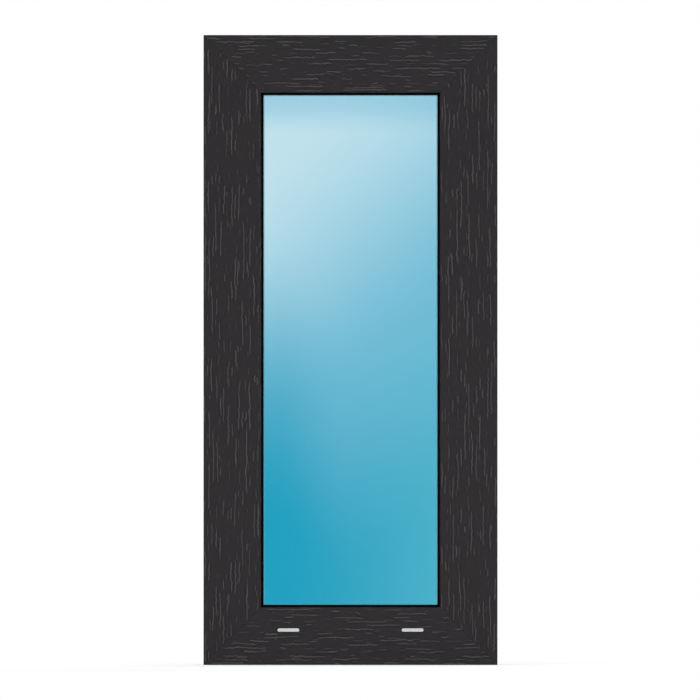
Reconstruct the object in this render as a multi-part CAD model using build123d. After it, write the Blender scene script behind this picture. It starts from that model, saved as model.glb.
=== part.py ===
from build123d import *
import math
import os

# Fixed window: welded multi-chamber PVC frame, sealed double glazing, glazing beads on the inside.
# Millimetres. X is the width, Y runs from the outside face to the inside face, Z is up.
# Every section is drawn with u, the rise from the frame's outer perimeter towards the glass,
# and v, the depth from the outside face.

# Overall frame
outer_width = 350.0
outer_height = 750.0
frame_depth = 70.0

# Frame profile
rebate_rise = 48.0
lip_rise = 68.5
lip_depth = 17.0
outer_wall = 2.8
floor_wall = 2.5
web = 1.5
first_cell = 6.1
second_cell = 6.1
steel_bay_rise = 34.5
drain_cell_depth = 29.0
outer_arris = 0.8
lip_front_round = 2.0
lip_back_round = 0.6

# Grooves of the frame profile
drain_groove_front = 20.0
drain_groove_width = 7.0
drain_groove_depth = 2.0
bead_groove_setback = 17.5
bead_groove_mouth = 3.5
bead_groove_undercut = 1.5
bead_groove_depth = 4.4
bead_groove_lip = 2.1
bead_groove_floor = 2.0
bead_groove_wall = 2.5
cell_past_groove = 1.1
rail_depth = 7.0
rail_rise = 2.2
rail_inset = 1.5
coupling_mouth = 3.0
coupling_mouth_depth = 1.0
coupling_undercut = 0.8
coupling_undercut_depth = 1.4
weld_groove = 0.15

# Gasket slots in the lip and in the beads
slot_rise = 63.0
slot_mouth = 2.4
slot_mouth_depth = 1.0
slot_pocket = 4.2
slot_pocket_depth = 1.8
slot_back_wall = 2.2
slot_side_wall = 1.4

# Gaskets
gasket_thickness = 3.0
gasket_foot = 2.5
gasket_sight = 3.0
gasket_nose = 0.8
gasket_relief = 1.4
gasket_fin = 3.2
gasket_fit = 0.1

# Steel reinforcement
steel_wall = 1.5
steel_fit = 0.3
steel_return = 8.0
steel_end_gap = 8.0

# Glass unit
pane_thickness = 4.0
cavity = 16.0
edge_cover_gap = 5.0
pane_arris = 0.5
seal_rise = 4.0
spacer_rise = 7.0
spacer_wall = 0.4
spacer_bevel = 2.0
butyl = 0.3
key_leg = 25.0
key_fit = 0.1

# Glazing beads
bead_wall = 1.6
bead_seat_gap = 0.1
bead_face = 13.0
bead_front_edge = 3.5
bead_shoulder = 4.0
bead_round = 2.0
bead_leg = 2.0
bead_hook = 1.9
bead_hook_rise = 1.6
bead_fit = 0.2

# Glazing blocks
block_length = 60.0
block_width = 26.0
block_corner_distance = 50.0
block_bevel = 0.6

# Drainage
cover_length = 26.0
cover_height = 4.0
cover_proud = 0.9
cover_edge = 0.3
cover_x = 74.0
cover_z = 41.6
cover_flange = 0.9
cover_fit = 0.1
cover_wall = 0.7
cover_tail = 1.0
outlet_length = 20.0
outlet_gap = 0.4
floor_slot_length = 25.0
floor_slot_width = 5.0
floor_slot_x = 20.0

# Frame fixings in the jambs
fixing_hole = 6.5
fixing_spacing = 350.0

# Worked out from the sizes above
half_depth = frame_depth / 2
steel_bay_front = outer_wall + first_cell + web + second_cell + web
bead_groove_front = frame_depth - bead_groove_setback
steel_bay_back = bead_groove_front - bead_groove_wall
third_cell_back = bead_groove_front + bead_groove_mouth + bead_groove_undercut + cell_past_groove
upper_cells_base = steel_bay_rise + web
pane_front = lip_depth + gasket_thickness
cavity_front = pane_front + pane_thickness
cavity_back = cavity_front + cavity
inner_pane_back = cavity_back + pane_thickness
bead_front = inner_pane_back + gasket_thickness
pane_edge = rebate_rise + edge_cover_gap
spacer_base = pane_edge + seal_rise
spacer_top = spacer_base + spacer_rise
drain_floor = rebate_rise - drain_groove_depth

sides = {
    "sill": (outer_width, Location((0, 0, 0))),
    "head": (outer_width, Location((0, 0, outer_height), (0, 180, 0))),
    "left_jamb": (outer_height, Location((-outer_width / 2, 0, outer_height / 2), (0, 90, 0))),
    "right_jamb": (outer_height, Location((outer_width / 2, 0, outer_height / 2), (0, -90, 0))),
}
parts = {}


def cell(u_low, u_high, v_front, v_back):
    # one rectangle of a section
    middle = Pos((v_front + v_back) / 2 - half_depth, (u_low + u_high) / 2)
    return middle * Rectangle(v_back - v_front, u_high - u_low)


def outline(*points):
    # one closed outline of a section, each corner given as (u, v)
    return make_face(Polyline(*[(v - half_depth, u) for u, v in points], close=True))


def rounded(section, u, v, radius):
    # the section with the corner nearest (u, v) rounded
    corner = section.vertices().sort_by_distance((v - half_depth, u, 0))[0]
    return fillet(corner, radius)


def straight(section, length):
    # a square-cut length of the section, centred, u upwards
    return extrude(Plane.YZ * section, amount=length / 2, both=True)


def mitred(section, length):
    # a length of the section cut at 45 degrees at both ends, longest on the perimeter
    half = length / 2
    rise = min(outer_width, outer_height) / 2 - 1
    corners = [(-half, 0), (half, 0), (half - rise, rise), (rise - half, rise)]
    wedge = extrude(Plane.XZ * make_face(Polyline(*corners, close=True)), amount=frame_depth, both=True)
    return straight(section, length) & wedge


def weld_marks(length):
    # the fine V along both mitres, on the outside and the inside face
    reach = lip_rise * 2 * math.sqrt(2)
    bar = Rot(45, 0, 0) * Box(reach, weld_groove * math.sqrt(2), weld_groove * math.sqrt(2))
    marks = []
    for end in (-1, 1):
        for face in (-half_depth, half_depth):
            middle = lip_rise / 2
            marks.append(Location((end * (length / 2 - middle), face, middle), (0, end * 45, 0)) * bar)
    return marks


def gasket_slot(face, inwards):
    # a T slot for a gasket root, cut from the face at depth v = face in the given direction
    mouth = face + inwards * slot_mouth_depth
    back = mouth + inwards * slot_pocket_depth
    narrow = cell(slot_rise - slot_mouth / 2, slot_rise + slot_mouth / 2, *sorted((face, mouth)))
    wide = cell(slot_rise - slot_pocket / 2, slot_rise + slot_pocket / 2, *sorted((mouth, back)))
    return narrow + wide


def coupling_groove(v_middle):
    # a groove in the perimeter that add-on profiles clip into
    half = coupling_mouth / 2
    wide = half + coupling_undercut
    mouth = cell(0, coupling_mouth_depth, v_middle - half, v_middle + half)
    bottom = coupling_mouth_depth + coupling_undercut_depth
    return mouth + cell(coupling_mouth_depth, bottom, v_middle - wide, v_middle + wide)


def steel_rail(v_middle):
    # the raised strip behind a coupling groove, which the steel stands on
    return cell(outer_wall, outer_wall + rail_rise, v_middle - rail_depth / 2, v_middle + rail_depth / 2)


def frame_section():
    # the multi-chamber profile with its lip, rebate and grooves
    body = cell(0, rebate_rise, 0, frame_depth) + cell(0, lip_rise, 0, lip_depth)
    body = rounded(body, 0, 0, outer_arris)
    body = rounded(body, 0, frame_depth, outer_arris)
    body = rounded(body, rebate_rise, frame_depth, outer_arris)
    body = rounded(body, lip_rise, 0, lip_front_round)
    body = rounded(body, lip_rise, lip_depth, lip_back_round)

    # chambers beside the steel, from the outside in
    first_back = outer_wall + first_cell
    body -= cell(outer_wall, steel_bay_rise, outer_wall, first_back)
    body -= cell(outer_wall, steel_bay_rise, first_back + web, steel_bay_front - web)
    groove_bottom = rebate_rise - bead_groove_depth
    body -= cell(outer_wall, groove_bottom - bead_groove_floor, steel_bay_back + web, third_cell_back)
    body -= cell(outer_wall, rebate_rise - floor_wall, third_cell_back + web, frame_depth - outer_wall)

    # the steel's own chamber with its two rails
    rail_reach = rail_inset + rail_depth / 2
    rails = (steel_bay_front + rail_reach, steel_bay_back - rail_reach)
    body -= cell(outer_wall, steel_bay_rise, steel_bay_front, steel_bay_back)
    for rail in rails:
        body += steel_rail(rail)
        body -= coupling_groove(rail)

    # the drain chamber, the one behind it, and the lip's chamber
    drain_roof = drain_floor - floor_wall
    body -= cell(upper_cells_base, drain_roof, outer_wall, drain_cell_depth)
    body -= cell(drain_roof, rebate_rise - floor_wall, outer_wall, lip_depth)
    body -= cell(upper_cells_base, rebate_rise - floor_wall, drain_cell_depth + web, steel_bay_back)
    lip_cell_base = rebate_rise - floor_wall + web
    lip_cell_top = lip_rise - outer_wall
    slot_back = lip_depth - slot_mouth_depth - slot_pocket_depth
    slot_low = slot_rise - slot_pocket / 2 - slot_side_wall
    body -= cell(lip_cell_base, slot_low, outer_wall, lip_depth - outer_wall)
    body -= cell(slot_low, lip_cell_top, outer_wall, slot_back - slot_back_wall)

    # grooves in the rebate and the lip
    body -= cell(drain_floor, rebate_rise, drain_groove_front, drain_groove_front + drain_groove_width)
    mouth_back = bead_groove_front + bead_groove_mouth
    body -= cell(groove_bottom, rebate_rise, bead_groove_front, mouth_back)
    undercut_top = rebate_rise - bead_groove_lip
    body -= cell(groove_bottom, undercut_top, bead_groove_front, mouth_back + bead_groove_undercut)
    body -= gasket_slot(lip_depth, -1)
    return body


def steel_section():
    # a C channel standing on the rails, open to the outside
    low = outer_wall + rail_rise + steel_fit
    high = steel_bay_rise - steel_fit
    front = steel_bay_front + steel_fit
    back = steel_bay_back - steel_fit
    channel = cell(low, high, front, back) - cell(low + steel_wall, high - steel_wall, front + steel_wall, back - steel_wall)
    return channel - cell(low + steel_return, high - steel_return, front, front + steel_wall)


def gasket_section(seat, inwards):
    # two lips on the glass, a nose past the holder's edge and a root in the slot
    low = slot_rise - gasket_foot
    tip = lip_rise + gasket_sight
    glass = seat + inwards * gasket_thickness
    relief = seat + inwards * gasket_relief
    shape = outline(
        (low, seat),
        (lip_rise, seat),
        (tip, glass - inwards * gasket_nose),
        (tip, glass),
        (tip - gasket_fin, glass),
        (tip - gasket_fin - gasket_nose, relief),
        (low + gasket_fin + gasket_nose, relief),
        (low + gasket_fin, glass),
        (low, glass),
    )
    neck = slot_mouth / 2 - gasket_fit
    head = slot_pocket / 2 - gasket_fit
    neck_end = seat - inwards * (slot_mouth_depth + gasket_fit)
    head_end = seat - inwards * (slot_mouth_depth + slot_pocket_depth - gasket_fit)
    root = cell(slot_rise - neck, slot_rise + neck, *sorted((seat, neck_end)))
    barb = outline(
        (slot_rise - head, neck_end),
        (slot_rise + head, neck_end),
        (slot_rise + neck, head_end),
        (slot_rise - neck, head_end),
    )
    return shape + root + barb


def bead_section():
    # a hollow clip-in bead: flat inside face, sloped front edge, hooked leg in the frame's groove
    low = rebate_rise + bead_seat_gap
    high = lip_rise
    slope_low = low + bead_face
    corners = [
        (low, bead_front),
        (high, bead_front),
        (high, bead_front + bead_front_edge),
        (slope_low + bead_shoulder, frame_depth - bead_shoulder),
        (slope_low, frame_depth),
        (low, frame_depth),
    ]
    body = outline(*corners)
    for u, v in corners[2:5]:
        body = rounded(body, u, v, bead_round)
    body = rounded(body, low, frame_depth, outer_arris)

    # the chamber keeps clear of the gasket slot
    slot_back = bead_front + slot_mouth_depth + slot_pocket_depth + slot_back_wall / 2
    chamber = outline(
        (low + bead_wall, bead_front + bead_wall),
        (slot_rise - slot_pocket / 2 - slot_side_wall, bead_front + bead_wall),
        (slot_rise - slot_pocket / 2 - slot_side_wall, slot_back),
        (high - 2 * bead_wall, slot_back),
        (slope_low + bead_shoulder - bead_wall, frame_depth - bead_shoulder - bead_wall / 2),
        (slope_low - bead_wall / 2, frame_depth - bead_wall),
        (low + bead_wall, frame_depth - bead_wall),
    )
    body -= chamber
    body -= gasket_slot(bead_front, 1)

    # the leg hangs in the groove and hooks under its lip
    leg_front = bead_groove_front + bead_fit
    leg_end = rebate_rise - bead_groove_depth + 2 * bead_fit
    leg_back = leg_front + bead_leg
    body += cell(leg_end, low, leg_front, leg_back)
    body += cell(leg_end, leg_end + bead_hook_rise, leg_back, leg_back + bead_hook)
    return body


def spacer_outline():
    # the outside of the spacer bar, its two corners towards the sealant bevelled
    front = cavity_front + butyl
    back = cavity_back - butyl
    return outline(
        (spacer_base, front + spacer_bevel),
        (spacer_base + spacer_bevel, front),
        (spacer_top, front),
        (spacer_top, back),
        (spacer_base + spacer_bevel, back),
        (spacer_base, back - spacer_bevel),
    )


def spacer_inside(gap):
    # the bar's hollow, or what fits in it with a gap all round
    inset = spacer_wall + gap
    front = cavity_front + butyl + inset
    back = cavity_back - butyl - inset
    bevel = spacer_bevel - inset * (math.sqrt(2) - 1)
    low = spacer_base + inset
    return outline(
        (low, front + bevel),
        (low + bevel, front),
        (spacer_top - inset, front),
        (spacer_top - inset, back),
        (low + bevel, back),
        (low, back - bevel),
    )


def ring(section):
    # the section carried round all four sides with mitred corners
    runs = [place * mitred(section, length) for length, place in sides.values()]
    return runs[0] + runs[1:]


def fixing_holes():
    # screw clearance holes right through a jamb, square to the wall
    drill = Cylinder(fixing_hole / 2, 2 * rebate_rise + 2)
    return [Pos(end * fixing_spacing / 2, 0, 0) * drill for end in (-1, 1)]


def outlet_slots():
    # the slots in the sill's outside wall that take the drain covers
    long = cover_length - 2 * cover_flange + 2 * cover_fit
    high = cover_height - 2 * cover_flange + 2 * cover_fit
    cut = extrude(Plane.XZ * SlotOverall(long, high), amount=outer_wall, both=True)
    return [Pos(x, -half_depth, cover_z) * cut for x in (-cover_x, cover_x)]


def floor_slots():
    # the slots in the drain groove's floor that let water into the drain chamber
    middle = drain_groove_front + drain_groove_width / 2 - half_depth
    cut = extrude(SlotOverall(floor_slot_length, floor_slot_width), amount=floor_wall, both=True)
    return [Pos(x, middle, drain_floor) * cut for x in (-floor_slot_x, floor_slot_x)]


def drain_cover():
    # a hooded cap: closed in front, hollow behind, with an outlet along its underside
    plate = extrude(Plane.XZ * SlotOverall(cover_length, cover_height), amount=cover_proud)
    front_rim = plate.faces().sort_by(Axis.Y)[0].edges()
    plate = chamfer(front_rim, cover_edge)
    body_long = cover_length - 2 * cover_flange
    body_high = cover_height - 2 * cover_flange
    tail = outer_wall + cover_tail
    body = extrude(Plane.XZ * SlotOverall(body_long, body_high), amount=-tail)
    hollow = SlotOverall(body_long - 2 * cover_wall, body_high - 2 * cover_wall)
    bore = extrude(Plane.XZ * hollow, amount=cover_proud / 2) + extrude(Plane.XZ * hollow, amount=-tail)
    outlet = Box(outlet_length, outlet_gap, cover_height, align=(Align.CENTER, Align.MAX, Align.MAX))
    return plate + body - bore - Pos(0, -cover_proud / 2 + outlet_gap, 0) * outlet


def pane(front):
    # one sheet of glass with arrissed edges
    wide = outer_width - 2 * pane_edge
    high = outer_height - 2 * pane_edge
    sheet = Box(wide, pane_thickness, high)
    edges = sheet.edges().filter_by(Axis.X) + sheet.edges().filter_by(Axis.Z)
    return Pos(0, front + pane_thickness / 2 - half_depth, outer_height / 2) * chamfer(edges, pane_arris)


def glazing_block():
    # a packer on the rebate floor, under the edge of the glass unit
    block = Box(block_length, block_width, edge_cover_gap)
    block = chamfer(block.edges().filter_by(Axis.Z), block_bevel)
    middle = (pane_front + inner_pane_back) / 2 - half_depth
    return Pos(0, middle, rebate_rise + edge_cover_gap / 2) * block


def spacer_keys():
    # the corner pieces of the spacer: a corner the shape of the bars with a leg into each
    solid_ring = ring(spacer_outline())
    legs = [place * straight(spacer_inside(key_fit), length) for length, place in sides.values()]
    keys = {}
    for name, side in (("left", -1), ("right", 1)):
        for level, base in (("lower", 0), ("upper", 1)):
            x = side * (outer_width / 2 - (spacer_base + spacer_top) / 2)
            z = base * outer_height + (1 - 2 * base) * (spacer_base + spacer_top) / 2
            corner = solid_ring & Pos(x, 0, z) * Box(spacer_rise, frame_depth, spacer_rise)
            run = legs[0] if level == "lower" else legs[1]
            rise = legs[2] if side < 0 else legs[3]
            inwards = side * -1
            upwards = 1 - 2 * base
            shift = (spacer_rise + key_leg) / 2
            corner += run & Pos(x + inwards * shift, 0, z) * Box(key_leg, frame_depth, 2 * spacer_rise)
            corner += rise & Pos(x, 0, z + upwards * shift) * Box(2 * spacer_rise, frame_depth, key_leg)
            keys["spacer_key_" + level + "_" + name] = corner
    return keys


frame_shape = frame_section()
steel_shape = steel_section()
outer_gasket_shape = gasket_section(lip_depth, 1)
bead_gasket_shape = gasket_section(bead_front, -1)
bead_shape = bead_section()
spacer_shape = spacer_outline() - spacer_inside(0)

for side, (length, place) in sides.items():
    upright = side.endswith("jamb")
    member = mitred(frame_shape, length) - weld_marks(length)
    steel = straight(steel_shape, length - 2 * (steel_bay_rise + steel_end_gap))
    if upright:
        member -= fixing_holes()
        steel -= fixing_holes()
    if side == "sill":
        member = member - outlet_slots() - floor_slots()
    parts["frame_" + side] = place * member
    parts["reinforcement_" + side] = place * steel
    parts["outer_gasket_" + side] = place * mitred(outer_gasket_shape, length)
    parts["bead_" + side] = place * (mitred(bead_shape, length) - weld_marks(length))
    parts["bead_gasket_" + side] = place * mitred(bead_gasket_shape, length)
    parts["spacer_" + side] = place * straight(spacer_shape, length - 2 * spacer_top)

    # two packers on every side, the same distance from the corners of the glass
    kind = "setting_block" if side == "sill" else "location_block_" + side
    offset = length / 2 - pane_edge - block_corner_distance
    ends = (("low", 1), ("high", -1)) if side == "left_jamb" else (("low", -1), ("high", 1))
    if not upright:
        ends = (("left", 1), ("right", -1)) if side == "head" else (("left", -1), ("right", 1))
    for end, way in ends:
        parts[kind + "_" + end] = place * Pos(way * offset, 0, 0) * glazing_block()

parts["outer_pane"] = pane(pane_front)
parts["inner_pane"] = pane(cavity_back)
parts.update(spacer_keys())
seal_shape = cell(pane_edge, spacer_top, cavity_front, cavity_back) - spacer_outline()
parts["edge_seal"] = ring(seal_shape)
for name, x in (("left", -cover_x), ("right", cover_x)):
    parts["drain_cover_" + name] = Pos(x, -half_depth, cover_z) * drain_cover()

os.makedirs("parts", exist_ok=True)
for name, shape in parts.items():
    export_step(shape, "parts/" + name + ".step")
print(len(parts), "pieces")
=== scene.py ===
import bmesh
import bpy
import math
import numpy as np
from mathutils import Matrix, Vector


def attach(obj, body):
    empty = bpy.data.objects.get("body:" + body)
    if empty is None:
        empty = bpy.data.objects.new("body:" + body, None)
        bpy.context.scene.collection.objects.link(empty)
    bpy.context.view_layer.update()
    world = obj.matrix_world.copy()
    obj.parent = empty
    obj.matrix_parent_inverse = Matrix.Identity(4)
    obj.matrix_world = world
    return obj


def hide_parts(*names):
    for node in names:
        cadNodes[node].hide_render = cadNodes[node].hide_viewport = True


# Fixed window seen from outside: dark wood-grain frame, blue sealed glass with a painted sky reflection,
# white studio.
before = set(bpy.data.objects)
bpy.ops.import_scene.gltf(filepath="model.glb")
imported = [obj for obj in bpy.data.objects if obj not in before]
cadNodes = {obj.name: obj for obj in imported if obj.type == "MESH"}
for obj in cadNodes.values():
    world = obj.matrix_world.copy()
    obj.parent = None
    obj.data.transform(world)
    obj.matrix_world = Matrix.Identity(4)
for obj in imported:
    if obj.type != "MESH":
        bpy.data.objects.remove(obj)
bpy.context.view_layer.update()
print("window loaded,", len(cadNodes), "pieces")

windowSize = {"width": 0.350, "height": 0.750, "outsideFace": -0.035, "insideFace": 0.035}


# Material building

class Finish:
    # one material's node tree, with short calls for the nodes that the finishes below use
    def __init__(self, name):
        self.material = bpy.data.materials.new(name)
        self.material.use_nodes = True
        self.tree = self.material.node_tree
        self.tree.nodes.clear()
        self.output = self.tree.nodes.new("ShaderNodeOutputMaterial")
        place = self.node("TexCoord").outputs["Object"]
        self.place = place
        apart = self.node("SeparateXYZ", {0: place})
        self.x, self.y, self.z = apart.outputs

    def feed(self, socket, value):
        if isinstance(value, bpy.types.NodeSocket):
            self.tree.links.new(value, socket)
        else:
            socket.default_value = value

    def node(self, kind, inputs=None, **settings):
        made = self.tree.nodes.new("ShaderNode" + kind)
        for key, value in settings.items():
            setattr(made, key, value)
        for key, value in (inputs or {}).items():
            self.feed(made.inputs[key], value)
        return made

    def calc(self, operation, *values, clamp=False):
        made = self.node("Math", operation=operation, use_clamp=clamp)
        for slot, value in enumerate(values):
            self.feed(made.inputs[slot], value)
        return made.outputs[0]

    def distance(self, first, second):
        # the root of the sum of both squares
        squares = [self.calc("MULTIPLY", part, part) for part in (first, second)]
        return self.calc("SQRT", self.calc("ADD", *squares))

    def ramp(self, value, low, high, start=0.0, end=1.0):
        # smooth step from start to end while value goes from low to high
        made = self.node("MapRange", interpolation_type="SMOOTHSTEP")
        given = {"Value": value, "From Min": low, "From Max": high, "To Min": start, "To Max": end}
        for key, part in given.items():
            self.feed(made.inputs[key], part)
        return made.outputs[0]

    def vector(self, x, y, z):
        return self.node("CombineXYZ", {0: x, 1: y, 2: z}).outputs[0]

    def mixed(self, share, first, second):
        made = self.node("Mix", {0: share}, data_type="RGBA")
        self.feed(made.inputs[6], first)
        self.feed(made.inputs[7], second)
        return made.outputs[2]

    def scaled(self, x, y, z):
        # the place on the object, stretched along each axis
        return self.node("Mapping", {0: self.place, 3: (x, y, z)}).outputs[0]

    def cloud(self, place, scale=1.0, detail=2.0, rough=0.5):
        inputs = {"Vector": place, "Scale": scale, "Detail": detail, "Roughness": rough}
        return self.node("TexNoise", inputs).outputs[0]

    def lots(self, place):
        # three random numbers for each place
        noise = self.node("TexWhiteNoise", {"Vector": place}).outputs["Color"]
        return self.node("SeparateColor", {0: noise}).outputs

    def relief(self, height, depth, strength):
        return self.node("Bump", {"Strength": strength, "Distance": depth, "Height": height}).outputs[0]

    def close(self, **sockets):
        # the surface shader, each socket named without spaces
        surface = self.node("BsdfPrincipled")
        names = {key.replace(" ", "").lower(): key for key in surface.inputs.keys()}
        for key, value in sockets.items():
            self.feed(surface.inputs[names[key.lower()]], value)
        self.tree.links.new(surface.outputs[0], self.output.inputs[0])
        self.surface = surface
        return self.material


def shade(red, green, blue):
    # a colour from its 0 to 255 screen values
    values = np.array([red, green, blue]) / 255
    linear = np.where(values <= 0.04045, values / 12.92, ((values + 0.055) / 1.055) ** 2.4)
    return (*linear.tolist(), 1.0)


def dress(names, material):
    for name in names:
        slots = cadNodes[name].data.materials
        slots.clear()
        slots.append(material)


# Shape building

def gridMesh(name, points, capped=False):
    # A mesh from an array of places, rows by columns: neighbours in both directions share a face, the last
    # column joins the first, and capped closes the first and the last row with one flat face each.
    rows, columns = points.shape[:2]
    near = np.arange(columns)
    far = np.roll(near, -1)
    first = np.arange(rows - 1)[:, None] * columns
    quads = np.stack([first + near, first + far, first + far + columns, first + near + columns], axis=-1)
    faces = quads.reshape(-1, 4).tolist()
    if capped:
        faces += [near[::-1].tolist(), ((rows - 1) * columns + near).tolist()]
    mesh = bpy.data.meshes.new(name)
    mesh.from_pydata(points.reshape(-1, 3).tolist(), [], faces)
    tidy = bmesh.new()
    tidy.from_mesh(mesh)
    bmesh.ops.remove_doubles(tidy, verts=tidy.verts, dist=1e-6)
    bmesh.ops.dissolve_degenerate(tidy, edges=tidy.edges, dist=1e-7)
    bmesh.ops.recalc_face_normals(tidy, faces=tidy.faces)
    tidy.to_mesh(mesh)
    tidy.free()
    mesh.shade_smooth()
    mesh.set_sharp_from_angle(angle=math.radians(38))
    return mesh


def standIn(name, points, material, node, capped=False):
    # a new piece that is shown in place of one solid
    piece = bpy.data.objects.new(name, gridMesh(name, points, capped))
    piece.data.materials.append(material)
    bpy.context.scene.collection.objects.link(piece)
    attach(piece, "root")
    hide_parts(node)


def riseAt(finish):
    # How far in a place lies: half the width less |x|, half the height less the height off the middle,
    # and the smaller of both, which is the rise from the frame's perimeter.
    calc = finish.calc
    fromSide = calc("SUBTRACT", windowSize["width"] / 2, calc("ABSOLUTE", finish.x))
    centredZ = calc("SUBTRACT", finish.z, windowSize["height"] / 2)
    fromEnd = calc("SUBTRACT", windowSize["height"] / 2, calc("ABSOLUTE", centredZ))
    return fromSide, fromEnd, calc("MINIMUM", fromSide, fromEnd)


# Wood-grain film on the frame and the beads

film = {
    "ground": shade(36.9, 34.8, 35.9),
    "groundCool": shade(35.9, 33.8, 36.9),
    "stroke": shade(69.5, 67.3, 68.5),
    "strokeDim": shade(61, 58.8, 60),
    "pore": shade(22, 20, 21),
    "levelPaintedLift": 1.08,  # painted light: the level members' film is lighter by this factor, to make up for the lamps lighting them less
    "mottleScale": 22.0,
    "toneLow": 0.35,  # the tones change over between these values of their clouds
    "toneHigh": 0.65,
    # strokes: lanes and stretches in metres
    "lanePitch": 0.0045,
    "stretch": 0.088,
    "levelStretch": 0.068,
    "strokeWidth": 0.00128,
    "softEdge": 0.0005,
    "shortest": 0.12,  # share of its stretch that the shortest stroke takes
    "longest": 0.98,  # and the longest
    "shortFavour": 1.7,  # the higher, the more short strokes
    "firstStart": 0.03,  # a stroke starts this far along its stretch, or up to startSpread later
    "startSpread": 0.32,
    "lastEnd": 0.99,
    "laneShift": 31.7,  # most stretches by which one lane is shifted against another
    "taperSlope": 12.0,  # how fast a stroke widens from its ends
    "toneSlope": 2.0,  # and how much sooner its tone is full
    "faintest": 0.65,
    "sideStep": 0.45,  # most that a stroke lies off its lane's middle, in lanes
    "speckShare": 0.65,  # strength of the specks against the long strokes
    "poreShare": 0.7,
    "shadowNear": 0.0014,  # the painted shade beside a stroke starts to fade this far past its edge
    "shadowFar": 0.0030,  # and ends there
    "shadowShare": 0.36,
    # bends of the lanes: how far, and waves to the metre along and across the grain
    "sway": 0.0023, "swayAlong": 38.0, "swayAcross": 60.0,
    "shiver": 0.0014, "shiverAlong": 210.0, "shiverAcross": 45.0,
    "fibreAlong": 75.0,  # fibres to the metre, along and across the grain
    "fibreAcross": 2300.0,
    "ragged": 0.0008,  # how far fibres push a stroke's edge in or out
    "roughness": 0.50,
    "roughSpread": 0.14,
    "strokeGloss": 0.06,
    "shine": 0.08,
    "wrap": 0.004,  # how far the film turns onto the perimeter
    "sideApart": 1.0,  # metres of pattern between opposite members, and between outside and inside
    "faceApart": 3.0,
    "seamHalf": 0.0003,  # half width of the dark weld line along each mitre
    "seamFade": 2.5,  # its edge has faded out at this many half widths
    "seamClear": 0.0009,  # strokes fade out this near the mitre
    "seamFaint": 0.12,  # the line's share of dark up to seamFrom
    "seamDark": 0.50,  # and from seamTo on, near the inner corner
    "seamFrom": 0.015,
    "seamTo": 0.062,
}

# short strokes between the long ones, and the fine dark pores: only what differs from the film
specks = {"stretch": 0.023, "lanePitch": 0.0118, "strokeWidth": 0.00105, "shortest": 0.20}
pores = {
    "stretch": 0.015, "lanePitch": 0.0012, "strokeWidth": 0.00022, "softEdge": 0.0001,
    "sway": 0.0006, "shiver": 0.0002, "ragged": 0.00015,
}

# bare core on the perimeter, with the lines that the extrusion die leaves
core = {
    "colour": shade(37, 35, 35),
    "line": shade(50, 48, 48),
    "depth": 0.0027,
    "lineAlong": 2.5,  # die lines to the metre, along and across the member
    "lineAcross": 420.0,
    "lineDetail": 4.0,
    "lineRough": 0.7,
    "lineLow": 0.42,
    "lineHigh": 0.72,
}

# heights pressed into the surface, as shares of the depth in metres
emboss = {"pore": -0.9, "streak": 0.35, "stroke": -0.35, "dieLine": 0.30, "depth": 0.00016, "strength": 0.9}


def grainStrokes(finish, along, across, fibre, look, seed):
    # The surface is cut into lanes along the grain and each lane into stretches, one stroke in each.
    # White noise gives each stroke its start, length and side step. The mask is the distance from its
    # wavering centre line, frayed by the fibres, set against a half width that narrows towards both ends.
    # The painted shade beside a stroke fades with the same distance, from shadowNear to shadowFar.
    calc = finish.calc
    bent = across
    for kind, ownSeed in (("sway", seed), ("shiver", seed + 4.0)):
        alongWave = calc("MULTIPLY", along, look[kind + "Along"])
        acrossWave = calc("MULTIPLY", across, look[kind + "Across"])
        wave = finish.cloud(finish.vector(alongWave, acrossWave, ownSeed))
        bent = calc("MULTIPLY_ADD", calc("SUBTRACT", wave, 0.5), 2 * look[kind], bent)
    laneAt = calc("DIVIDE", bent, look["lanePitch"])
    lane = calc("FLOOR", laneAt)
    laneLot = finish.lots(finish.vector(lane, seed, 0.5))[0]
    run = calc("MULTIPLY_ADD", laneLot, look["laneShift"], calc("DIVIDE", along, look["stretch"]))
    cell = calc("FLOOR", run)
    lot = finish.lots(finish.vector(lane, cell, seed))
    start = calc("MULTIPLY_ADD", lot[0], look["startSpread"], look["firstStart"])
    favoured = calc("POWER", lot[1], look["shortFavour"])
    share = calc("MULTIPLY_ADD", favoured, look["longest"] - look["shortest"], look["shortest"])
    length = calc("MULTIPLY", calc("SUBTRACT", look["lastEnd"], start), share)
    inside = calc("DIVIDE", calc("SUBTRACT", calc("SUBTRACT", run, cell), start), length)
    ends = calc("MINIMUM", inside, calc("SUBTRACT", 1.0, inside))
    taper = calc("MULTIPLY", ends, look["taperSlope"], clamp=True)
    side = calc("MULTIPLY", calc("SUBTRACT", lot[2], 0.5), look["sideStep"])
    middle = calc("ADD", calc("ADD", lane, 0.5), side)
    off = calc("MULTIPLY", calc("ABSOLUTE", calc("SUBTRACT", laneAt, middle)), look["lanePitch"])
    off = calc("MULTIPLY_ADD", calc("SUBTRACT", fibre, 0.5), look["ragged"], off)
    half = calc("MULTIPLY", taper, look["strokeWidth"] / 2)
    edge = calc("ADD", half, look["softEdge"] / 2)
    mask = finish.ramp(off, calc("SUBTRACT", half, look["softEdge"] / 2), edge, 1.0, 0.0)
    tone = finish.lots(finish.vector(cell, lane, seed + 9.0))[1]
    strength = calc("MULTIPLY_ADD", tone, 1 - look["faintest"], look["faintest"])
    strength = calc("MULTIPLY", calc("MULTIPLY", taper, look["toneSlope"], clamp=True), strength)
    fadeFrom = calc("ADD", half, look["shadowNear"])
    beside = finish.ramp(off, fadeFrom, calc("ADD", half, look["shadowFar"]), 1.0, 0.0)
    return calc("MULTIPLY", mask, strength), calc("MULTIPLY", beside, strength)


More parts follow.
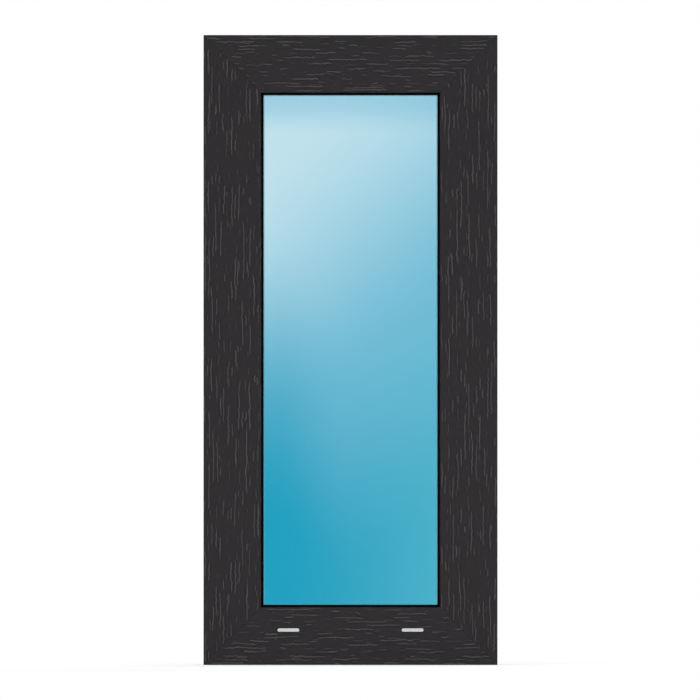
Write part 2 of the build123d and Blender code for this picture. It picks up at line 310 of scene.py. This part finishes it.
def woodFilm(name, upright, look, seed):
    finish = Finish(name)
    calc = finish.calc
    centredZ = calc("SUBTRACT", finish.z, windowSize["height"] / 2)
    fromSide, fromEnd, rise = riseAt(finish)
    along, other, fromRim = (finish.z, finish.x, fromSide) if upright else (finish.x, centredZ, fromEnd)

    # Across the grain: the rise from the perimeter less the depth from the middle plane, so that the
    # grain runs on round the profile's corners and slopes, and each member and face has its own stretch.
    girth = calc("ADD", calc("SUBTRACT", fromRim, calc("ABSOLUTE", finish.y)), look["sideApart"])
    face = calc("MULTIPLY", calc("SIGN", finish.y), look["faceApart"])
    across = calc("MULTIPLY_ADD", calc("SIGN", other), girth, face)
    fibreAlong = calc("MULTIPLY", along, look["fibreAlong"])
    fibreAcross = calc("MULTIPLY", across, look["fibreAcross"])
    fibre = finish.cloud(finish.vector(fibreAlong, fibreAcross, seed), 1.0, 3.0)
    strokes, beside = grainStrokes(finish, along, across, fibre, look, seed)
    short, besideShort = grainStrokes(finish, along, across, fibre, dict(look, **specks), seed + 20.0)
    strokes = calc("MAXIMUM", strokes, calc("MULTIPLY", short, look["speckShare"]))
    beside = calc("MAXIMUM", beside, calc("MULTIPLY", besideShort, look["speckShare"]))
    offMitre = calc("ABSOLUTE", calc("SUBTRACT", fromSide, fromEnd))
    strokes = calc("MULTIPLY", strokes, finish.ramp(offMitre, look["seamHalf"], look["seamClear"]))
    pitted = grainStrokes(finish, along, across, fibre, dict(look, **pores), seed + 40.0)[0]

    mottle = finish.cloud(finish.place, look["mottleScale"], 3.0)
    mottle = finish.ramp(mottle, look["toneLow"], look["toneHigh"])
    ground = finish.mixed(mottle, look["ground"], look["groundCool"])
    # painted shade beside the strokes: the ground turns towards the pore colour there
    ground = finish.mixed(calc("MULTIPLY", beside, look["shadowShare"]), ground, look["pore"])
    streak = finish.ramp(fibre, look["toneLow"], look["toneHigh"])
    colour = finish.mixed(strokes, ground, finish.mixed(streak, look["strokeDim"], look["stroke"]))
    colour = finish.mixed(calc("MULTIPLY", pitted, look["poreShare"]), colour, look["pore"])
    seam = finish.ramp(offMitre, look["seamHalf"], look["seamFade"] * look["seamHalf"], 1.0, 0.0)
    darkness = finish.ramp(rise, look["seamFrom"], look["seamTo"], look["seamFaint"], look["seamDark"])
    colour = finish.mixed(calc("MULTIPLY", seam, darkness), colour, look["pore"])

    # bare core on the perimeter, between the two turned edges of the film
    nearRim = calc("LESS_THAN", rise, core["depth"])
    between = calc("LESS_THAN", calc("ABSOLUTE", finish.y), windowSize["insideFace"] - look["wrap"])
    bare = calc("MULTIPLY", nearRim, between)
    lineAlong = calc("MULTIPLY", along, core["lineAlong"])
    lineAcross = calc("MULTIPLY", across, core["lineAcross"])
    dieLine = finish.vector(lineAlong, lineAcross, seed)
    dieLine = finish.cloud(dieLine, 1.0, core["lineDetail"], core["lineRough"])
    dieLine = finish.ramp(dieLine, core["lineLow"], core["lineHigh"])
    colour = finish.mixed(bare, colour, finish.mixed(dieLine, core["colour"], core["line"]))
    covered = calc("SUBTRACT", 1.0, bare)

    rough = calc("MULTIPLY_ADD", fibre, look["roughSpread"], look["roughness"] - look["roughSpread"] / 2)
    rough = calc("MULTIPLY_ADD", calc("MULTIPLY", strokes, covered), -look["strokeGloss"], rough)
    height = calc("MULTIPLY_ADD", pitted, emboss["pore"], calc("MULTIPLY", streak, emboss["streak"]))
    height = calc("MULTIPLY", calc("MULTIPLY_ADD", strokes, emboss["stroke"], height), covered)
    height = calc("MULTIPLY_ADD", calc("MULTIPLY", dieLine, bare), emboss["dieLine"], height)
    return finish.close(
        baseColor=colour,
        roughness=rough,
        specularIORLevel=look["shine"],
        normal=finish.relief(height, emboss["depth"], emboss["strength"]),
    )


uprightFilm = woodFilm("woodFilmUpright", True, film, 7.0)
levelLook = dict(film, stretch=film["levelStretch"])
# the level members' copy of the film: a shorter stretch, and every tone lifted by the painted-light factor
for tone in ("ground", "groundCool", "stroke", "strokeDim"):
    levelLook[tone] = tuple(part * film["levelPaintedLift"] for part in film[tone][:3]) + (1.0,)
levelFilm = woodFilm("woodFilmLevel", False, levelLook, 11.0)
for part in ("frame_", "bead_"):
    dress([part + side for side in ("left_jamb", "right_jamb")], uprightFilm)
    dress([part + side for side in ("head", "sill")], levelFilm)
print("film done")


# Gaskets

rubber = {
    "colour": shade(3, 5, 5),
    "dusty": shade(9, 10, 11),
    "nose": shade(3, 26, 32),  # painted reflection: the nose takes on a little of the glass's teal
    "noseReflectionFrom": 0.0703,  # rise from the perimeter
    "noseReflectionTo": 0.0713,
    "dustScale": 180.0,
    "dustFrom": 0.45,
    "dustTo": 0.8,
    "dustRough": 0.15,
    "grainScale": 2600.0,
    "grainDepth": 0.00004,
    "grainStrength": 0.5,
    "roughness": 0.72,
    "shine": 0.02,
}


def gasketRubber(name, look):
    finish = Finish(name)
    dust = finish.cloud(finish.place, look["dustScale"], 4.0, 0.6)
    dust = finish.ramp(dust, look["dustFrom"], look["dustTo"])
    grain = finish.cloud(finish.scaled(look["grainScale"], look["grainScale"], look["grainScale"]))
    # painted reflection of the glass's colour along the gasket's nose
    nose = finish.ramp(riseAt(finish)[2], look["noseReflectionFrom"], look["noseReflectionTo"])
    colour = finish.mixed(dust, look["colour"], look["dusty"])
    return finish.close(
        baseColor=finish.mixed(nose, colour, look["nose"]),
        roughness=finish.calc("MULTIPLY_ADD", dust, look["dustRough"], look["roughness"]),
        specularIORLevel=look["shine"],
        normal=finish.relief(grain, look["grainDepth"], look["grainStrength"]),
    )


blackRubber = gasketRubber("gasketRubber", rubber)
dress([name for name in cadNodes if "gasket" in name], blackRubber)

gasket = {
    # all in metres; rise is counted from the frame's perimeter towards the glass
    "lipRise": 0.0685,  # edge of the lip or bead that holds the gasket
    "slotRise": 0.063,
    "foot": 0.0025,
    "sight": 0.003,
    "thickness": 0.003,
    "nose": 0.0008,
    "relief": 0.0014,
    "fin": 0.0032,
    "neck": 0.0011,
    "neckDepth": 0.0011,
    "barb": 0.0020,
    "rootDepth": 0.0026,
    "soft": 0.00035,  # rounding of every edge, and twice that where the nose leaves the holder
    "outerSeat": -0.018,  # where the lip's back face lies
    "beadSeat": 0.012,  # and the bead's front face
}


def softOutline(corners, radii, steps=5, most=0.45):
    # A closed outline with rounded corners: each corner gives way to a curve that starts one radius before
    # it and ends one radius after it, (1-t)^2 of the start, 2t(1-t) of the corner and t^2 of the end.
    # No curve takes more than its given share of the way to the next corner.
    before = np.roll(corners, 1, axis=0) - corners
    after = np.roll(corners, -1, axis=0) - corners
    reachBefore = np.minimum(radii, np.linalg.norm(before, axis=1) * most)[:, None]
    reachAfter = np.minimum(radii, np.linalg.norm(after, axis=1) * most)[:, None]
    start = corners + before / np.linalg.norm(before, axis=1)[:, None] * reachBefore
    end = corners + after / np.linalg.norm(after, axis=1)[:, None] * reachAfter
    t = np.linspace(0, 1, steps)[None, :, None]
    curve = (1 - t) ** 2 * start[:, None] + 2 * t * (1 - t) * corners[:, None] + t**2 * end[:, None]
    return curve.reshape(-1, 2)


def gasketOutline(look, seat, inwards):
    # two fins on the glass, a nose past the holder's edge, and a barbed root in the slot
    low = look["slotRise"] - look["foot"]
    tip = look["lipRise"] + look["sight"]
    glass = seat + inwards * look["thickness"]
    relief = seat + inwards * look["relief"]
    neckEnd = seat - inwards * look["neckDepth"]
    rootEnd = seat - inwards * look["rootDepth"]
    corners = np.array([
        (low, seat),
        (look["slotRise"] - look["neck"], seat),
        (look["slotRise"] - look["neck"], neckEnd),
        (look["slotRise"] - look["barb"], neckEnd),
        (look["slotRise"] - look["neck"], rootEnd),
        (look["slotRise"] + look["neck"], rootEnd),
        (look["slotRise"] + look["barb"], neckEnd),
        (look["slotRise"] + look["neck"], neckEnd),
        (look["slotRise"] + look["neck"], seat),
        (look["lipRise"], seat),
        (tip, glass - inwards * look["nose"]),
        (tip, glass),
        (tip - look["fin"], glass),
        (tip - look["fin"] - look["nose"], relief),
        (low + look["fin"] + look["nose"], relief),
        (low + look["fin"], glass),
        (low, glass),
    ])
    leavesHolder = corners[:, 0] == look["lipRise"]
    return softOutline(corners, np.where(leavesHolder, 2 * look["soft"], look["soft"]))


def memberSweep(outline, side):
    # The outline carried along one side of the window. At both ends each of its points stops short of the
    # corner by its own rise, which is the 45 degree mitre. Rise then runs inwards from that side.
    rise, depth = outline.T
    upright = side.endswith("jamb")
    length = windowSize["height"] if upright else windowSize["width"]
    span = np.array([-0.5, 0.5])[:, None]
    along = span * (length - 2 * rise)[None, :]
    rises = np.broadcast_to(rise, along.shape)
    depths = np.broadcast_to(depth, along.shape)
    half, middle = windowSize["width"] / 2, windowSize["height"] / 2
    places = {
        "sill": (along, depths, rises),
        "head": (along, depths, windowSize["height"] - rises),
        "left_jamb": (rises - half, depths, along + middle),
        "right_jamb": (half - rises, depths, along + middle),
    }
    return np.stack(places[side], axis=-1)


for side in ("sill", "head", "left_jamb", "right_jamb"):
    for kind, seat, inwards in (("outer", gasket["outerSeat"], 1), ("bead", gasket["beadSeat"], -1)):
        sweep = memberSweep(gasketOutline(gasket, seat, inwards), side)
        node = kind + "_gasket_" + side
        standIn(kind + "Gasket_" + side, sweep, blackRubber, node, capped=True)
print("gaskets done")


# Glass

sky = {
    # linear colours of the glass's blue tint with a painted sky reflection, from the pale top to the deep
    # foot of the pane
    "haze": (0.532, 0.757, 0.846),
    "blue": (0.187, 0.518, 0.691),
    "footLeft": (0.017, 0.355, 0.533),
    "footRight": (0.087, 0.461, 0.606),
    "topBand": (0.0, 0.383, 0.616),
    "left": -0.1006, "wide": 0.2012, "top": 0.6762, "tall": 0.6024,
    # where one tone turns to the next, in shares of the way down the pane
    "blueFrom": 0.095, "blueTo": 0.690,
    "blueSlant": 0.28,  # the blue comes this much sooner at the right edge
    "footFrom": 0.2465, "footTo": 0.8446,
    "leftClimb": 0.154, "leftClimbFrom": 0.502,  # how far the foot climbs to the left edge, and from where
    "rightClimb": 0.022, "rightClimbSquared": 0.121,
    "footTurnFrom": 0.042, "footTurnTo": 1.426,  # across the pane, from footLeft to footRight
    "bandShare": 0.363, "bandTo": 0.081,
    # a greyer line on the glass along the gasket: its colour, its strength and the rise where it lies
    "dust": (0.17, 0.26, 0.28),
    "edgeLineShare": 0.6,
    "dustFrom": 0.0721, "dustTo": 0.0733,  # rise from the perimeter; the gasket's nose ends at 0.0715
    "veil": (0.0135, 0.0155, 0.0155),  # what the glass mirrors on top of its tint
    "clearness": 0.97,
    "ior": 1.45,
    "coating": (0.40, 0.46, 0.46, 1.0),  # share of plain glass's mirroring that is left
    "innerCoating": (0.18, 0.20, 0.20, 1.0),
    "clearTint": (0.97, 0.985, 0.98, 1.0),
    "rippleScale": 9.0,
    "rippleDepth": 0.00004,
    "rippleStrength": 0.3,
}


def tintWithPaintedSky(finish, look):
    # The glass's blue tint with a painted sky reflection in it. Down the pane (fall) and across it (over),
    # both
    # from 0 to 1: the haze turns to blue along one slanted smooth step, the blue to the foot colours along
    # another that climbs towards the left edge, and a thin darker band lies at the very top. A greyer line
    # runs along the gasket.
    calc = finish.calc
    over = calc("DIVIDE", calc("SUBTRACT", finish.x, look["left"]), look["wide"])
    fall = calc("DIVIDE", calc("SUBTRACT", look["top"], finish.z), look["tall"])

    def tint(name):
        values = [max(0.0, (c - v) / look["clearness"]) for c, v in zip(look[name], look["veil"])]
        return (*values, 1.0)

    toBlue = calc("MULTIPLY_ADD", over, look["blueSlant"], fall)
    toBlue = finish.ramp(toBlue, look["blueFrom"], look["blueTo"])
    climb = calc("MULTIPLY_ADD", over, look["rightClimbSquared"], look["rightClimb"])
    climb = calc("MULTIPLY", over, climb)
    climb = calc("SUBTRACT", climb, finish.ramp(over, 0.0, look["leftClimbFrom"], 0.0, look["leftClimb"]))
    toFoot = finish.ramp(calc("ADD", fall, climb), look["footFrom"], look["footTo"])
    footTurn = finish.ramp(over, look["footTurnFrom"], look["footTurnTo"])
    foot = finish.mixed(footTurn, tint("footLeft"), tint("footRight"))
    band = finish.ramp(fall, 0.0, look["bandTo"], look["bandShare"], 0.0)
    colour = finish.mixed(toBlue, tint("haze"), tint("blue"))
    colour = finish.mixed(toFoot, colour, foot)
    colour = finish.mixed(band, colour, tint("topBand"))
    # a greyer line along the gasket
    dust = finish.ramp(riseAt(finish)[2], look["dustFrom"], look["dustTo"], look["edgeLineShare"], 0.0)
    return finish.mixed(dust, colour, tint("dust"))


def paneGlass(name, look, tinted, coating):
    finish = Finish(name)
    # the tinted pane's colour holds the painted sky reflection
    colour = tintWithPaintedSky(finish, look) if tinted else look["clearTint"]
    ripple = finish.cloud(finish.place, look["rippleScale"], 1.0)
    finish.close(
        baseColor=colour,
        roughness=0.0,
        ior=look["ior"],
        specularTint=coating,
        transmissionWeight=1.0,
        normal=finish.relief(ripple, look["rippleDepth"], look["rippleStrength"]),
    )
    # lamps shine through, so that what is behind the glass is lit
    seeThrough = finish.node("BsdfTransparent", {0: colour})
    isShadow = finish.node("LightPath").outputs["Is Shadow Ray"]
    both = finish.node("MixShader", {0: isShadow, 1: finish.surface.outputs[0], 2: seeThrough.outputs[0]})
    finish.tree.links.new(both.outputs[0], finish.output.inputs[0])
    return finish.material


dress(["outer_pane"], paneGlass("skyGlass", sky, True, sky["coating"]))
dress(["inner_pane"], paneGlass("clearGlass", sky, False, sky["innerCoating"]))
print("glass done")


# Spacer bars, corner keys and sealant between the panes

spacer = {
    "metal": (0.62, 0.63, 0.64, 1.0),
    # painted shade: the perforations are coloured near black for the dark hollow behind them
    "hole": (0.03, 0.03, 0.03, 1.0),
    "pitch": 0.0035, "holeRadius": 0.00045, "rowOffset": 0.0022, "middleY": -0.003,
    "holeFade": 1.3,  # a hole's edge has faded out at this many radii
    "brushAlong": 40.0,  # brush marks to the metre, along and across the bar
    "brushAcross": 900.0,
    "brushDepth": 0.1,  # share of a hole's depth
    "depth": 0.0002,
    "strength": 0.6,
    "roughness": 0.26,
    "roughSpread": 0.18,
}


def spacerMetal(name, upright, look):
    finish = Finish(name)
    calc = finish.calc
    along = finish.z if upright else finish.x
    step = calc("SUBTRACT", calc("FRACT", calc("DIVIDE", along, look["pitch"])), 0.5)
    stepOff = calc("MULTIPLY", step, look["pitch"])
    offMiddle = calc("ABSOLUTE", calc("SUBTRACT", finish.y, look["middleY"]))
    far = finish.distance(stepOff, calc("SUBTRACT", offMiddle, look["rowOffset"]))
    hole = finish.ramp(far, look["holeRadius"], look["holeRadius"] * look["holeFade"], 1.0, 0.0)
    fine, long = look["brushAcross"], look["brushAlong"]
    brushPlace = finish.scaled(fine, fine, long) if upright else finish.scaled(long, fine, fine)
    brushed = finish.cloud(brushPlace, 1.0, 3.0)
    height = calc("MULTIPLY_ADD", hole, -1.0, calc("MULTIPLY", brushed, look["brushDepth"]))
    # the holes' near-black colour is painted shade
    return finish.close(
        baseColor=finish.mixed(hole, look["metal"], look["hole"]),
        metallic=calc("SUBTRACT", 1.0, hole),
        roughness=calc("MULTIPLY_ADD", brushed, look["roughSpread"], look["roughness"]),
        normal=finish.relief(height, look["depth"], look["strength"]),
    )


dress(["spacer_left_jamb", "spacer_right_jamb"], spacerMetal("spacerMetalUpright", True, spacer))
dress(["spacer_head", "spacer_sill"], spacerMetal("spacerMetalLevel", False, spacer))


# Plastics of the corner keys, packers, sealant and drain caps

plastics = {
    # clouds of the darker tone to the metre, roughness and share of mirroring
    "cornerKeyPlastic": {
        "colour": shade(96, 98, 99), "darker": shade(80, 82, 83),
        "clouds": 120.0, "roughness": 0.45, "shine": 0.4,
    },
    "packerPlastic": {
        "colour": shade(38, 74, 128), "darker": shade(30, 60, 108),
        "clouds": 90.0, "roughness": 0.42, "shine": 0.4,
    },
    "edgeSealant": {
        "colour": shade(34, 34, 35), "darker": shade(24, 24, 25),
        "clouds": 200.0, "roughness": 0.62, "shine": 0.25,
    },
    "drainCoverPlastic": {
        "colour": shade(191, 190, 190), "darker": shade(184, 183, 183),
        "clouds": 160.0, "roughness": 0.40, "shine": 0.2,
    },
}
mouldGrain = {"scale": 2400.0, "depth": 0.00003, "strength": 0.6, "roughSpread": 0.12}


def mouldedPlastic(name):
    # a faint cloud of tone and a fine spark-eroded grain
    look = plastics[name]
    finish = Finish(name)
    tone = finish.cloud(finish.place, look["clouds"], 3.0)
    grain = finish.cloud(finish.place, mouldGrain["scale"], 2.0)
    return finish.close(
        baseColor=finish.mixed(tone, look["colour"], look["darker"]),
        roughness=finish.calc("MULTIPLY_ADD", grain, mouldGrain["roughSpread"], look["roughness"]),
        specularIORLevel=look["shine"],
        normal=finish.relief(grain, mouldGrain["depth"], mouldGrain["strength"]),
    )


keyPlastic, blockPlastic, sealant, coverPlastic = [mouldedPlastic(name) for name in plastics]
dress([name for name in cadNodes if name.startswith("spacer_key")], keyPlastic)
dress([name for name in cadNodes if "block" in name], blockPlastic)
dress(["edge_seal"], sealant)
dress(["drain_cover_left", "drain_cover_right"], coverPlastic)
print("spacers and plastics done")


# Drain caps

cover = {
    "length": 0.026,
    "height": 0.004,
    "proud": 0.0009,
    "crown": 0.00012,  # the front is this much fuller along its middle
    "edge": 0.00045,  # rounding of the front edge
    "hollow": 0.0004,  # the hollow reaches this far in front of the frame's face
    "flange": 0.0009,
    "wall": 0.0007,
    "tail": 0.0038,  # reach behind the frame's face
    "outletHalf": 0.010,
    "outletHigh": 0.0004,
    "outletDeep": 0.0007,
    "fromMiddle": 0.074,  # the cap's place on the sill
    "rise": 0.0416,
}


def stadium(look, steps=10, runSteps=20):
    # The long round-ended outline of the cap, once round: spine gives the place on its middle line, and
    # turn the direction outwards from there, so that any inset is spine + (radius - inset) * turn.
    half = (look["length"] - look["height"]) / 2
    run = np.linspace(half, -half, runSteps + 1)[1:-1]
    rightArc = np.linspace(-math.pi / 2, math.pi / 2, steps + 1)
    leftArc = rightArc + math.pi
    up = np.full(run.size, math.pi / 2)
    angles = np.concatenate([rightArc, up, leftArc, -up])
    ends = np.full(rightArc.size, half)
    spine = np.concatenate([ends, run, -ends, run[::-1]])
    return spine, np.stack([np.cos(angles), np.sin(angles)], axis=-1)


def drainCap(look, side, edgeSteps=7, crownSteps=6):
    # The cap's section is a list of (inset, depth) places, from the hollow's middle round the tail, the
    # flange and the rounded edge to the crown. Each goes once round the stadium. The crown rises with the
    # square of the inset, and the flange's lower run steps in by outletDeep, up to outletHigh: the outlet.
    radius = look["height"] / 2
    edgeTurn = np.linspace(0, math.pi / 2, edgeSteps)
    top = look["proud"] - look["crown"]
    roundInset = look["edge"] * (1 - np.cos(edgeTurn))
    roundDepth = -(top - look["edge"] + look["edge"] * np.sin(edgeTurn))
    crownInset = np.linspace(look["edge"], radius, crownSteps)[1:]
    fullness = 1 - ((radius - crownInset) / (radius - look["edge"])) ** 2
    flange, hollow, tail, high = look["flange"], look["hollow"], look["tail"], look["outletHigh"]
    inner = flange + look["wall"]
    inset = np.concatenate([[radius, inner, inner, flange, flange, 0, 0, 0], roundInset, crownInset])
    depth = np.concatenate([
        [-hollow, -hollow, tail, tail, 0, 0, -high, -high], roundDepth, -top - look["crown"] * fullness])
    stepsIn = np.zeros(inset.size)
    stepsIn[[5, 6]] = look["outletDeep"]  # the flange's rim, from the face up to outletHigh
    spine, turn = stadium(look)
    below = (turn[:, 1] < -0.999) & (np.abs(spine) <= look["outletHalf"] + 1e-9)
    reach = radius - inset[:, None] - stepsIn[:, None] * below[None, :]
    x = spine[None, :] + reach * turn[None, :, 0] + side * look["fromMiddle"]
    y = np.broadcast_to(windowSize["outsideFace"] + depth[:, None], x.shape)
    z = reach * turn[None, :, 1] + look["rise"]
    return np.stack([x, y, z], axis=-1)


for name, side in (("left", -1), ("right", 1)):
    standIn("drainCap_" + name, drainCap(cover, side), coverPlastic, "drain_cover_" + name)
print("drain caps done")


# Steel channels in the frame

zinc = {
    "light": shade(178, 182, 186),
    "dark": shade(150, 155, 160),
    "flakes": 160.0,  # to the metre
    "depth": 0.00003,
    "strength": 0.3,
    "roughness": 0.34,
    "roughSpread": 0.16,
}


def zincSteel(name, look):
    # hot-dip zinc: large flakes of slightly different tone and roughness
    finish = Finish(name)
    flakes = finish.node("TexVoronoi", {"Vector": finish.place, "Scale": look["flakes"]}, feature="F1")
    tone = finish.node("SeparateColor", {0: flakes.outputs["Color"]}).outputs[0]
    return finish.close(
        baseColor=finish.mixed(tone, look["light"], look["dark"]),
        metallic=1.0,
        roughness=finish.calc("MULTIPLY_ADD", tone, look["roughSpread"], look["roughness"]),
        normal=finish.relief(flakes.outputs["Distance"], look["depth"], look["strength"]),
    )


dress([name for name in cadNodes if name.startswith("reinforcement")], zincSteel("zincSteel", zinc))
print("steel done")


# Studio: pale floor, white surroundings, four soft lamps and a faint one at the foot

studio = {
    "floorHalf": 60.0,
    "floorCells": 8,
    "floorTone": (0.86, 0.86, 0.86, 1.0),
    "floorCloud": (0.89, 0.89, 0.89, 1.0),
    "cloudScale": 14.0,
    "shadowShare": 0.45,  # how much of the floor near the window is lit paint rather than plain white
    "shadowNear": 0.5,
    "shadowFar": 2.4,
    "roomTone": (0.56, 0.56, 0.56, 1.0),
    "white": (1.0, 1.0, 1.0, 1.0),
}

lamps = {
    # aimZ is the height on the window's middle line that a lamp points at
    "keyLamp": {"place": (-2.6, -3.4, 1.4), "size": 2.2, "watts": 56.0, "aimZ": 0.375, "mirrored": True},
    "fillLamp": {"place": (2.2, -3.4, 0.6), "size": 1.2, "watts": 38.0, "aimZ": 0.375, "mirrored": True},
    "footLamp": {"place": (0.0, -0.50, 0.03), "size": 0.4, "watts": 0.55, "aimZ": 0.05, "mirrored": False},
    "topLamp": {"place": (0.0, -0.2, 3.4), "size": 3.0, "watts": 50.0, "aimZ": 0.375, "mirrored": True},
    "backLamp": {"place": (1.2, 3.4, 2.6), "size": 2.4, "watts": 78.0, "aimZ": 0.375, "mirrored": True},
}


def floorSheet(name, look):
    # a flat square grid: x and y run evenly over the square, z is 0
    cells = np.arange(look["floorCells"])
    steps = np.linspace(-look["floorHalf"], look["floorHalf"], cells.size + 1)
    gridX, gridY = np.meshgrid(steps, steps)
    corners = np.column_stack([gridX.ravel(), gridY.ravel(), np.zeros(gridX.size)])
    near = cells[:, None] * steps.size + cells[None, :]
    far = near + steps.size
    quads = np.stack([near, near + 1, far + 1, far], axis=-1).reshape(-1, 4)
    mesh = bpy.data.meshes.new(name)
    mesh.from_pydata(corners.tolist(), [], quads.tolist())
    piece = bpy.data.objects.new(name, mesh)
    bpy.context.scene.collection.objects.link(piece)
    return piece


def floorPaint(name, look):
    finish = Finish(name)
    calc = finish.calc
    rays = finish.node("LightPath").outputs
    away = finish.distance(finish.x, finish.y)
    painted = finish.ramp(away, look["shadowNear"], look["shadowFar"], look["shadowShare"], 0.0)
    tone = finish.cloud(finish.place, look["cloudScale"], 3.0)
    paint = finish.node("BsdfDiffuse", {0: finish.mixed(tone, look["floorTone"], look["floorCloud"])})
    white = finish.node("Emission", {0: look["white"], 1: 1.0})
    mirrored = calc("MAXIMUM", rays["Is Glossy Ray"], rays["Is Transmission Ray"])
    seen = calc("MULTIPLY", rays["Is Camera Ray"], calc("SUBTRACT", 1.0, painted))
    whiteShare = calc("MAXIMUM", mirrored, seen)
    both = finish.node("MixShader", {0: whiteShare, 1: paint.outputs[0], 2: white.outputs[0]})
    finish.tree.links.new(both.outputs[0], finish.output.inputs[0])
    return finish.material


floor = floorSheet("studioFloor", studio)
floor.data.materials.append(floorPaint("studioFloorPaint", studio))

world = bpy.data.worlds.new("studioRoom")
bpy.context.scene.world = world
world.use_nodes = True
room = world.node_tree
room.nodes.clear()
rays = room.nodes.new("ShaderNodeLightPath").outputs
plainRoom = room.nodes.new("ShaderNodeBackground")
plainRoom.inputs[0].default_value = studio["roomTone"]
whiteRoom = room.nodes.new("ShaderNodeBackground")
whiteRoom.inputs[0].default_value = studio["white"]
# camera, mirrored and refracted rays see white, and all others the duller room that lights the window
anyOf = rays["Is Camera Ray"]
for kind in ("Is Glossy Ray", "Is Transmission Ray"):
    larger = room.nodes.new("ShaderNodeMath")
    larger.operation = "MAXIMUM"
    room.links.new(anyOf, larger.inputs[0])
    room.links.new(rays[kind], larger.inputs[1])
    anyOf = larger.outputs[0]
chosen = room.nodes.new("ShaderNodeMixShader")
room.links.new(anyOf, chosen.inputs[0])
room.links.new(plainRoom.outputs[0], chosen.inputs[1])
room.links.new(whiteRoom.outputs[0], chosen.inputs[2])
room.links.new(chosen.outputs[0], room.nodes.new("ShaderNodeOutputWorld").inputs[0])

for name, look in lamps.items():
    light = bpy.data.lights.new(name, "AREA")
    light.shape = "SQUARE"
    light.size = look["size"]
    light.energy = look["watts"]
    lamp = bpy.data.objects.new(name, light)
    lamp.location = look["place"]
    aim = Vector((0.0, 0.0, look["aimZ"])) - Vector(look["place"])
    lamp.rotation_euler = aim.to_track_quat("-Z", "Y").to_euler()
    lamp.visible_camera = False
    lamp.visible_transmission = False
    lamp.visible_glossy = look["mirrored"]
    bpy.context.scene.collection.objects.link(lamp)
print("studio done")


# Camera: a long lens square to the outside face, so that the picture is nearly flat

view = {
    "lens": 1600.0,
    "sensor": 36.0,
    "across": 0.83333,  # width of the picture at the outside face
    "aimX": -0.0006,
    "aimZ": 0.375,
    "clipStart": 0.1,
    "clipEnd": 200.0,
}
away = view["across"] * view["lens"] / view["sensor"]
cameraData = bpy.data.cameras.new("outsideView")
cameraData.lens = view["lens"]
cameraData.sensor_width = view["sensor"]
cameraData.clip_start = view["clipStart"]
cameraData.clip_end = view["clipEnd"]
camera = bpy.data.objects.new("outsideView", cameraData)
camera.location = (view["aimX"], windowSize["outsideFace"] - away, view["aimZ"])
camera.rotation_euler = (math.pi / 2, 0.0, 0.0)
bpy.context.scene.collection.objects.link(camera)
bpy.context.scene.camera = camera
bpy.context.scene.view_settings.view_transform = "Standard"

print("camera set")
